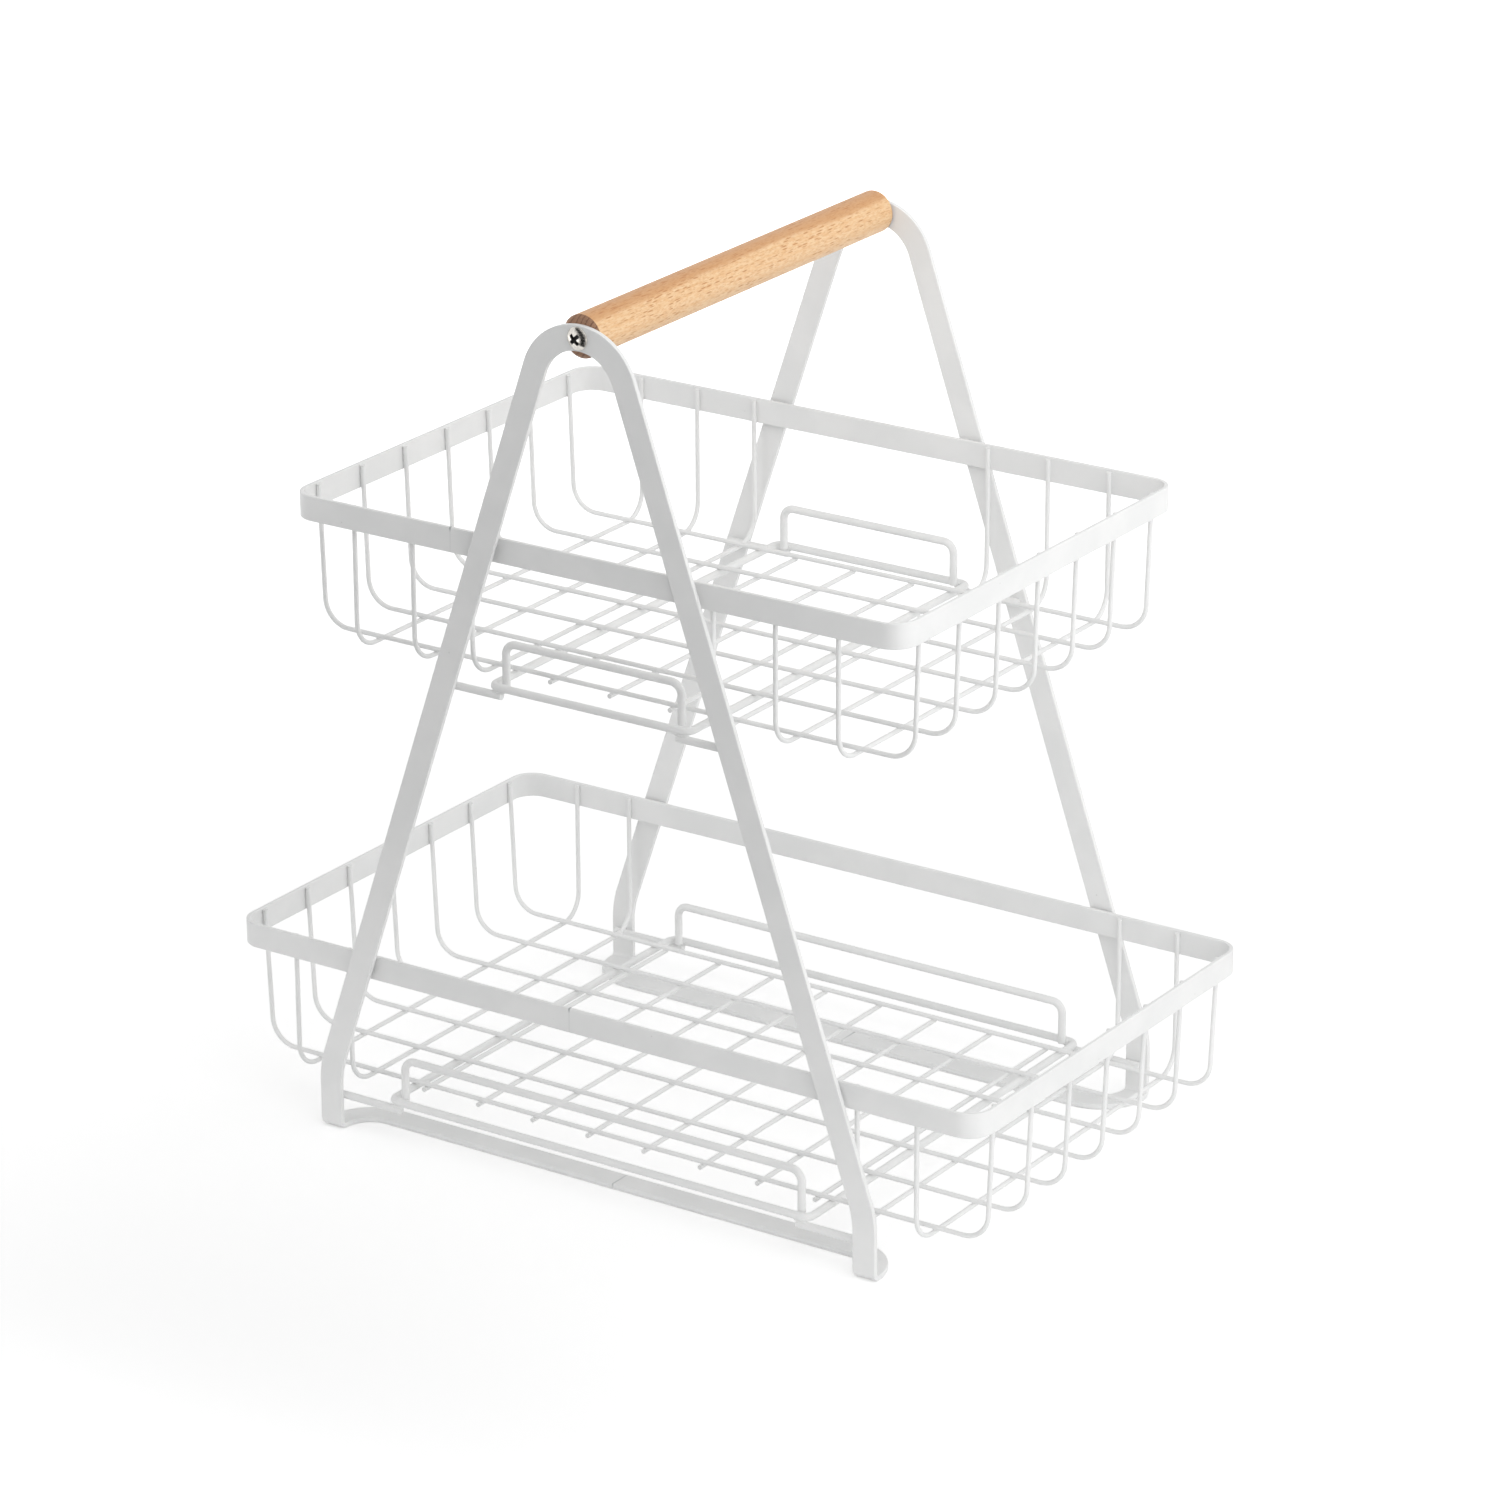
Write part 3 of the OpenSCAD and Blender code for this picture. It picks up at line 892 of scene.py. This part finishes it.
# %% Beads on the carriers
HOOP_BEAD = {"length": 0.0052, "wide": 0.0014, "tall": 0.0019}
HOOP_BEAD_RISE = CARRIER_RADIUS / 4
RING_BEAD = {"length": 0.0075, "wide": 0.0034, "tall": 0.0018}
RING_WELD_IN = 0.0042


def carrier_beads(tier):
    ring_low, ring_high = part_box(tier + "_carrier_ring")
    ring_y = ring_high.y - CARRIER_RADIUS
    foot_z = middle(tier + "_carrier_ring").z + HOOP_BEAD_RISE
    along = Vector((1, 0, 0))
    found = []
    for side, hoop in ((-1, "_hoop_front"), (1, "_hoop_back")):
        low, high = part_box(tier + hoop)
        touch_y = side * (ring_y - CARRIER_RADIUS)
        for foot_x in (low.x + CARRIER_RADIUS, high.x - CARRIER_RADIUS):
            found.append(bead(Vector((foot_x, touch_y, foot_z)), along, **HOOP_BEAD))
        for end in (-1, 1):
            corner_x = end * (ring_high.x - CARRIER_RADIUS - RING_WELD_IN)
            corner = Vector((corner_x, side * ring_y, ring_low.z))
            found.append(bead(corner, along, **RING_BEAD))
    return found


welds_piece("carrier_beads", "rack", carrier_beads("upper") + carrier_beads("lower"))

# %% [markdown]
# ## Screws
# The frame's screws have plain pan heads, which is enough to hold the handle. The real
# head is a full dome, and its cross recess narrows to a cone, as a driver's bit does.
# The screw is turned from a profile, and the recess is cut out of it with a Boolean, so
# both are real surfaces that can catch and lose light.

# %% Screw profile
SHANK_RADIUS = 0.002
SHANK_LENGTH = 0.028
POINT_LENGTH = 0.004
TIP_RADIUS = 0.0002
SCREW_ROUND = 64
DOME_STEPS = 14


def on_screw(x, behind, z):
    """A point given from the front of the near screw's head, on its axis."""
    return Vector((x, SCREW_FRONT + behind, HANDLE_MIDDLE.z + z))


def screw_rings():
    """Radius and distance behind the front of the head, from the dome to the point."""
    rings = []
    for i in range(DOME_STEPS + 1):
        radius = max(TIP_RADIUS, HEAD_RADIUS * i / DOME_STEPS)
        rings.append((radius, DOME_RADIUS - math.sqrt(DOME_RADIUS**2 - radius**2)))
    seat = SCREW_SEAT - SCREW_FRONT
    rings += [(HEAD_RADIUS, seat), (SHANK_RADIUS, seat)]
    rings += [(SHANK_RADIUS, seat + SHANK_LENGTH - POINT_LENGTH), (TIP_RADIUS, seat + SHANK_LENGTH)]
    return rings


def screw_section(radius, behind):
    return [on_screw(radius * math.cos(angle), behind, radius * math.sin(angle))
            for angle in turns(SCREW_ROUND)]


print("screw", round((SCREW_SEAT - SCREW_FRONT + SHANK_LENGTH) * 1000, 1), "mm long in all")


# %% Screw recess
RECESS_REACH = 0.0034
RECESS_HALF = 0.00092
RECESS_LEVELS = (
    (-0.0010, 1.0, 1.0),
    (0.0002, 1.0, 1.0),
    (0.0019, 0.60, 0.72),
    (0.0023, 0.20, 0.30),
)
CROSS_TURN = 45


def recess_section(behind, reach_share, half_share):
    """The outline of the cross, turned so that its arms stand at 45 degrees."""
    reach, half = RECESS_REACH * reach_share, RECESS_HALF * half_share
    quarter = [(half, half), (half, reach), (-half, reach)]
    outline = []
    for arm in range(4):
        turned = Matrix.Rotation(math.radians(CROSS_TURN + 90 * arm), 2)
        outline += [turned @ Vector(corner) for corner in quarter]
    return [on_screw(x, behind, z) for x, z in outline]


print("recess", round(RECESS_LEVELS[-1][0] * 1000, 1), "mm deep")


# %% Screws
def cut_screw():
    """One screw's mesh, with its recess cut."""
    blank = skinned("screw_blank", [[screw_section(*ring) for ring in screw_rings()]])
    cutter = skinned("screw_cutter", [[recess_section(*level) for level in RECESS_LEVELS]])
    cut = blank.modifiers.new("recess", "BOOLEAN")
    cut.operation = "DIFFERENCE"
    cut.solver = "EXACT"
    cut.object = cutter
    bpy.context.view_layer.update()
    evaluated = blank.evaluated_get(bpy.context.evaluated_depsgraph_get())
    mesh = bpy.data.meshes.new_from_object(evaluated)
    bpy.data.objects.remove(blank)
    bpy.data.objects.remove(cutter)
    return mesh


def dressed_screws():
    """Both screws as one piece: the near one, and a copy turned half round the rack."""
    mesh = bmesh.new()
    mesh.from_mesh(cut_screw())
    copied = bmesh.ops.duplicate(mesh, geom=mesh.verts[:] + mesh.edges[:] + mesh.faces[:])["geom"]
    back = [item for item in copied if isinstance(item, bmesh.types.BMVert)]
    bmesh.ops.rotate(mesh, verts=back, cent=(0, 0, 0), matrix=Matrix.Rotation(math.pi, 3, "Z"))
    piece = piece_from("domed_screws", mesh)
    give_finish(piece, SCREW_METAL)
    round_edges(piece, SCREW_EDGE, SCREW_EDGE_SEGMENTS)
    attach(piece, "rack")
    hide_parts("handle_screws")
    return piece


screws = dressed_screws()
print("screws have", len(screws.data.polygons), "faces")

# %% [markdown]
# ## Floor
# The rack stands on a pale sweep that the picture shows as plain white. A real sweep
# does two things: it throws light back up at the rack, and it takes a faint shadow. A
# diffuse surface does both, and a little glow that only the camera and mirrors can see
# lifts it to white without adding any light to the rack. The glow grows with distance,
# where the softboxes no longer reach.

# %% Floor
FLOOR_HALF = 6.0
FLOOR_DROP = 0.0003
FLOOR_WHITE = (0.94, 0.94, 0.94, 1)
FLOOR_SOILED = (0.92, 0.92, 0.92, 1)
SOIL_PER_METRE = 3
SOIL_SHOWS = 0.2
GLOW_NEAR = 0.30
GLOW_FAR = 1.0
GLOW_REACH = (0.5, 1.6)
SQUARE = ((-1, -1), (1, -1), (1, 1), (-1, 1))


def seen_directly(finish):
    """1 for what the camera, a mirror or a clear piece sees, and 0 for the light itself."""
    path = finish.node("ShaderNodeLightPath").out.node
    rays = [Socket(finish, path.outputs[ray])
            for ray in ("Is Camera Ray", "Is Glossy Ray", "Is Transmission Ray")]
    return finish.node("ShaderNodeClamp", None, {"Value": rays[0] + rays[1] + rays[2]})


def sweep_finish():
    finish = new_finish("white_sweep")
    place = place_of(finish)
    soil = noise(finish, place, SOIL_PER_METRE) * SOIL_SHOWS
    tone = blend_colours(finish, soil, FLOOR_WHITE, FLOOR_SOILED)
    lit = finish.node("ShaderNodeBsdfDiffuse", None, {"Color": tone})
    reach = finish.node("ShaderNodeVectorMath", {"operation": "LENGTH"}, {0: place}, "Value")
    far = mask(finish, reach, *GLOW_REACH)
    strength = seen_directly(finish) * (GLOW_NEAR + far * (GLOW_FAR - GLOW_NEAR))
    glow = finish.node("ShaderNodeEmission", None, {"Strength": strength})
    both = finish.node("ShaderNodeAddShader", None, {0: lit, 1: glow})
    finish.node("ShaderNodeOutputMaterial", None, {"Surface": both})
    return finish.owner


def flat_piece(name, points, faces):
    data = bpy.data.meshes.new(name)
    data.from_pydata(points, [], faces)
    return placed(name, data)


corners = [(x * FLOOR_HALF, y * FLOOR_HALF, -FLOOR_DROP) for x, y in SQUARE]
floor = flat_piece("sweep", corners, [(0, 1, 2, 3)])
give_finish(floor, sweep_finish())
print("floor", 2 * FLOOR_HALF, "m wide")

# %% [markdown]
# ## Light
# The picture's steel is brightest where it faces right, a little less where it faces up,
# and clearly greyer where it faces the viewer. That is a white tent with two lamps: the
# sky and the floor do most of the work, a weak softbox on the right lifts the sides that
# face it, and a stronger one hangs over the rack. Each softbox is set by the share of
# white that it gives a card that faces it, and its watts follow from its distance.

# %% Softboxes
LAMP_AIM = Vector((0, 0, 0.2))
SOFTBOXES = {
    "softbox_right": {"place": (1.3, -0.05, 0.5), "wide": 1.0, "tall": 0.9, "level": 0.025},
    "softbox_over": {"place": (0.35, -0.30, 0.95), "wide": 1.0, "tall": 0.6, "level": 0.12},
}


def softbox(name, place, wide, tall, level):
    lamp = bpy.data.lights.new(name, "AREA")
    lamp.shape = "RECTANGLE"
    lamp.size, lamp.size_y = wide, tall
    reach = LAMP_AIM - Vector(place)
    lamp.energy = level * (math.pi * reach.length) ** 2
    made = placed(name, lamp)
    made.location = place
    made.rotation_mode = "QUATERNION"
    made.rotation_quaternion = reach.to_track_quat("-Z", "Y")
    made.visible_camera = False
    print(name, "gives", round(lamp.energy, 1), "W from", round(reach.length, 2), "m")


for name, settings in SOFTBOXES.items():
    softbox(name, **settings)

# %% [markdown]
# ## Dark cards
# White steel on a white ground needs something dark to look at, or its edges vanish. A
# card close in front takes light from the near faces, and less from the far ones, which
# is why the far frame is the paler one. A second, curved card is there for the screws
# alone: only mirrors see it, and it draws the dark band on the right of the near dome. Its
# shape is found backwards. Each corner of the band is a spot on the dome, given by the turn
# round from the right and the slope away from the middle, and the camera's look bounces
# off that spot towards the place where the corner of the card has to be.

# %% Cards
CARD_BLACK = (0.02, 0.02, 0.02, 1)
CARD_FELT = (0, 0, 0, 1)
FELT_PER_METRE = 120
FRONT_CARD_MIDDLE = Vector((0, -0.46, 0.39))
FRONT_CARD_HALF_WIDE = 0.25
FRONT_CARD_HALF_TALL = 0.27


def dark_card(name, points, faces):
    card = flat_piece(name, points, faces)
    finish = new_finish(name)
    felt = noise(finish, place_of(finish), FELT_PER_METRE)
    colour = blend_colours(finish, felt, CARD_BLACK, CARD_FELT)
    give_finish(card, painted(finish, {"Base Color": colour, "Roughness": 1.0}))
    card.visible_camera = False
    return card


front = [FRONT_CARD_MIDDLE + Vector((x * FRONT_CARD_HALF_WIDE, 0, z * FRONT_CARD_HALF_TALL))
         for x, z in SQUARE]
front_card = dark_card("front_card", front, [(0, 1, 2, 3)])
front_card.visible_glossy = False
print("front card is", round(-FRONT_CARD_MIDDLE.y, 2), "m in front of the rack's middle")

# %% Mirror flag
FLAG_REACH = 0.42
DOME_BAND = ((96, 43, 51), (74, 33, 51), (48, 27, 50), (18, 24, 49), (-12, 24, 50), (-38, 26, 51))


def bounced(turn, slope):
    """The place the camera's look is thrown to by one spot of the screw's dome."""
    turn, slope = math.radians(turn), math.radians(slope)
    sideways = math.sin(slope)
    normal = Vector((sideways * math.cos(turn), -math.cos(slope), sideways * math.sin(turn)))
    dome = on_screw(0, 0, 0)
    toward = (EYE - dome).normalized()
    return dome + FLAG_REACH * (2 * normal.dot(toward) * normal - toward)


flag_points = []
for turn, near_slope, far_slope in DOME_BAND:
    flag_points += [bounced(turn, near_slope), bounced(turn, far_slope)]
flag_faces = [(i, i + 2, i + 3, i + 1) for i in range(0, len(flag_points) - 2, 2)]
mirror_flag = dark_card("mirror_flag", flag_points, flag_faces)
mirror_flag.visible_diffuse = False
mirror_flag.visible_shadow = False
print("mirror flag has", len(flag_faces), "faces")

# %% [markdown]
# ## The tent
# The light that comes from all round is not the same on every side. The walls of a tent
# are brighter than its roof, and the right and the front are brighter than the left and
# the back, so the left of every wire is a little grey. A direction goes in and a
# brightness comes out. What the camera or a mirror sees of the tent is plain white.

# %% Surroundings
SKY_LEVEL = 1.0
SKY_WHITE = (1, 1, 1, 1)
SKY_RIGHT = 0.34
SKY_FRONT = 0.42
SKY_ROOF = 0.22
BACKGROUND_LEVEL = 1.0


def tent():
    world = bpy.data.worlds.new("studio")
    finish = Finish(world)
    toward = finish.node("ShaderNodeTexCoord", out="Generated")
    x, y, z = parts_of(finish, toward)
    light = SKY_LEVEL * (1 + SKY_RIGHT * x - SKY_FRONT * y - SKY_ROOF * z)
    strength = light + seen_directly(finish) * (BACKGROUND_LEVEL - light)
    sky = finish.node("ShaderNodeBackground", None, {"Color": SKY_WHITE, "Strength": strength})
    finish.node("ShaderNodeOutputWorld", None, {"Surface": sky})
    return world


scene.world = tent()
print("sky", SKY_LEVEL, "with", SKY_RIGHT, "more on the right and", SKY_ROOF, "less from the roof")
